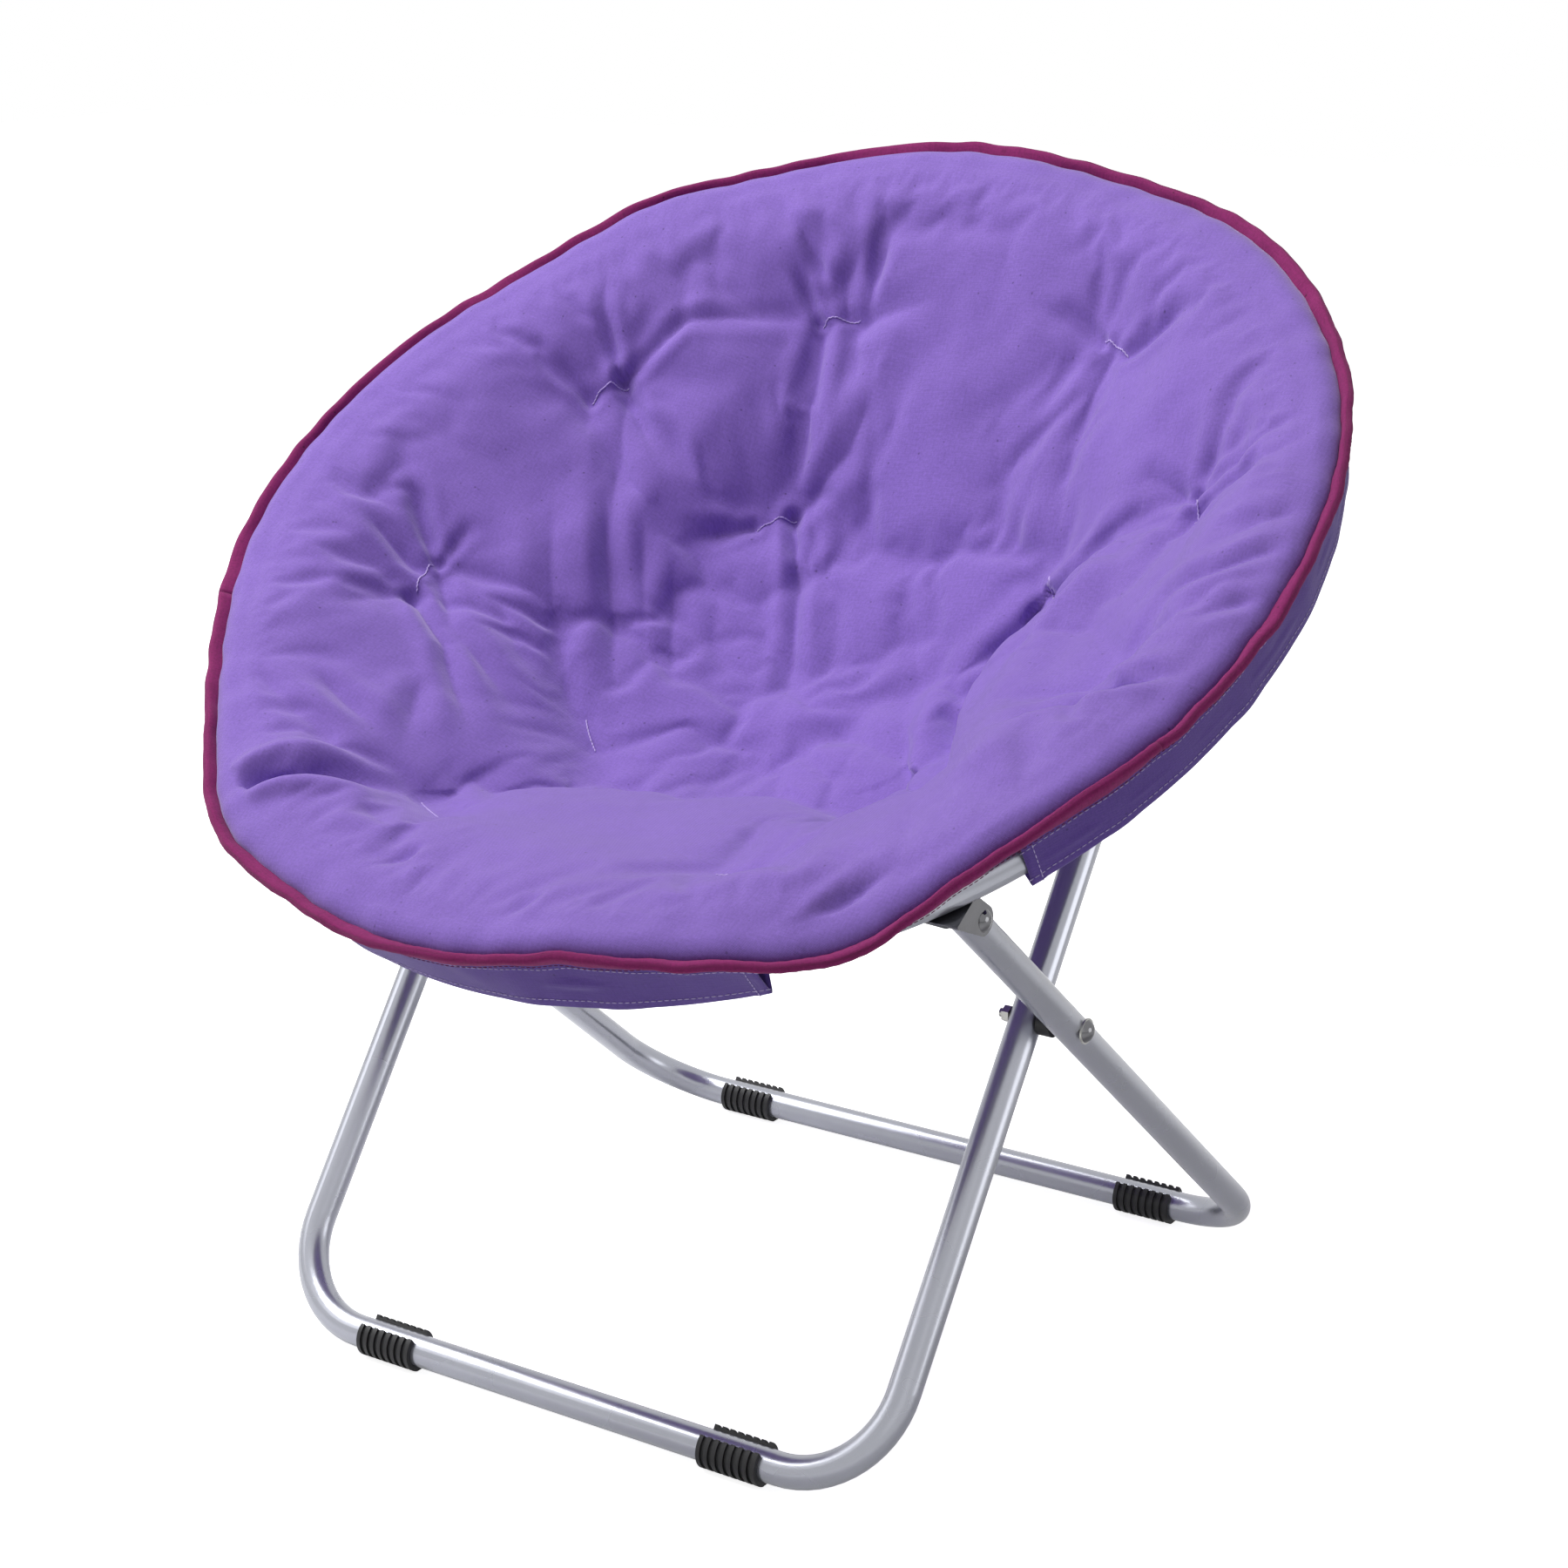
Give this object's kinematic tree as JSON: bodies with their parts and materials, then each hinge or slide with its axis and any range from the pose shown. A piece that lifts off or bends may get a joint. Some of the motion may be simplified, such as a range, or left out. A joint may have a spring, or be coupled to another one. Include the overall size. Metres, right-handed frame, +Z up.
{
  "type": "folding moon chair",
  "caption": "Round padded bowl seat on a tilted folding ring of steel tube, carried by crossed U-bent legs that close like scissors; low lounge seat that folds flat.",
  "frame": {"origin": "on the floor, below the middle of the chair's outline seen from above", "axes": "+Z up; the sitter faces -Y; +X to the chair's right side as seen from the front (the sitter's left), across the ring"},
  "size_m": [0.806, 0.6869, 0.7893],
  "materials": {
    "tube_paint": "silver-grey powder coat, satin",
    "bright_steel": "bright plated, polished",
    "zinc_steel": "zinc plated, dull",
    "black_plastic": "moulded, satin",
    "seat_cloth": "cotton canvas over polyester fill, tufted",
    "sleeve_cloth": "cotton canvas, single layer",
    "binding_tape": "folded bias tape, stitched",
    "tuft_thread": "satin-stitched thread"
  },
  "bodies": {
    "front_leg": {"front_leg_frame": "tube_paint", "front_leg_plugs": "black_plastic", "front_foot_pad_left": "black_plastic", "front_foot_pad_right": "black_plastic", "cross_spacers": "black_plastic", "cross_bolt_tails": "zinc_steel", "cross_nuts": "zinc_steel"},
    "rear_leg": {"rear_leg_frame": "tube_paint", "rear_leg_plugs": "black_plastic", "rear_foot_pad_left": "black_plastic", "rear_foot_pad_right": "black_plastic", "cross_bolts": "bright_steel", "cross_washers": "zinc_steel"},
    "back_ring": {"back_ring_tube": "tube_paint", "back_hinge_leaf_left": "zinc_steel", "back_hinge_leaf_right": "zinc_steel", "ring_hinge_rivets": "bright_steel", "back_bracket_left": "bright_steel", "back_bracket_right": "bright_steel", "back_pivot_rivets": "bright_steel", "back_sleeve_left": "sleeve_cloth", "back_sleeve_right": "sleeve_cloth", "rear_sleeve": "sleeve_cloth", "seat_pad_back": "seat_cloth", "edge_binding_back": "binding_tape", "tuft_tacks_back": "tuft_thread"},
    "front_ring": {"front_ring_tube": "tube_paint", "front_hinge_leaf_left": "zinc_steel", "front_hinge_leaf_right": "zinc_steel", "front_bracket_left": "bright_steel", "front_bracket_right": "bright_steel", "front_pivot_rivets": "bright_steel", "front_sleeve": "sleeve_cloth", "side_sleeve_left": "sleeve_cloth", "side_sleeve_right": "sleeve_cloth", "seat_pad_front": "seat_cloth", "edge_binding_front": "binding_tape", "tuft_tacks_front": "tuft_thread"}
  },
  "joints": [
    {"name": "back_pivot", "type": "hinge", "parent": "front_leg", "child": "back_ring", "pos_m": [0, 0.23811, 0.66413], "axis": [1, 0, 0], "range_deg": [0, 24.95]},
    {"name": "ring_hinge", "type": "hinge", "parent": "back_ring", "child": "front_ring", "pos_m": [0, -0.11608, 0.46932], "axis": [-1, 0, 0], "range_deg": [0, 165], "deforming": ["seat_pad_front", "seat_pad_back", "edge_binding_front", "edge_binding_back", "tuft_tacks_front", "tuft_tacks_back"]},
    {"name": "front_pivot", "type": "hinge", "parent": "front_ring", "child": "rear_leg", "pos_m": [0, -0.18421, 0.38678], "axis": [1, 0, 0], "range_deg": [0, 75.25]}
  ],
  "couplings": [
    {"joint": "back_pivot", "follows": "front_pivot", "ratio": 0.33083},
    {"joint": "ring_hinge", "follows": "front_pivot", "ratio": 2.1924}
  ]
}
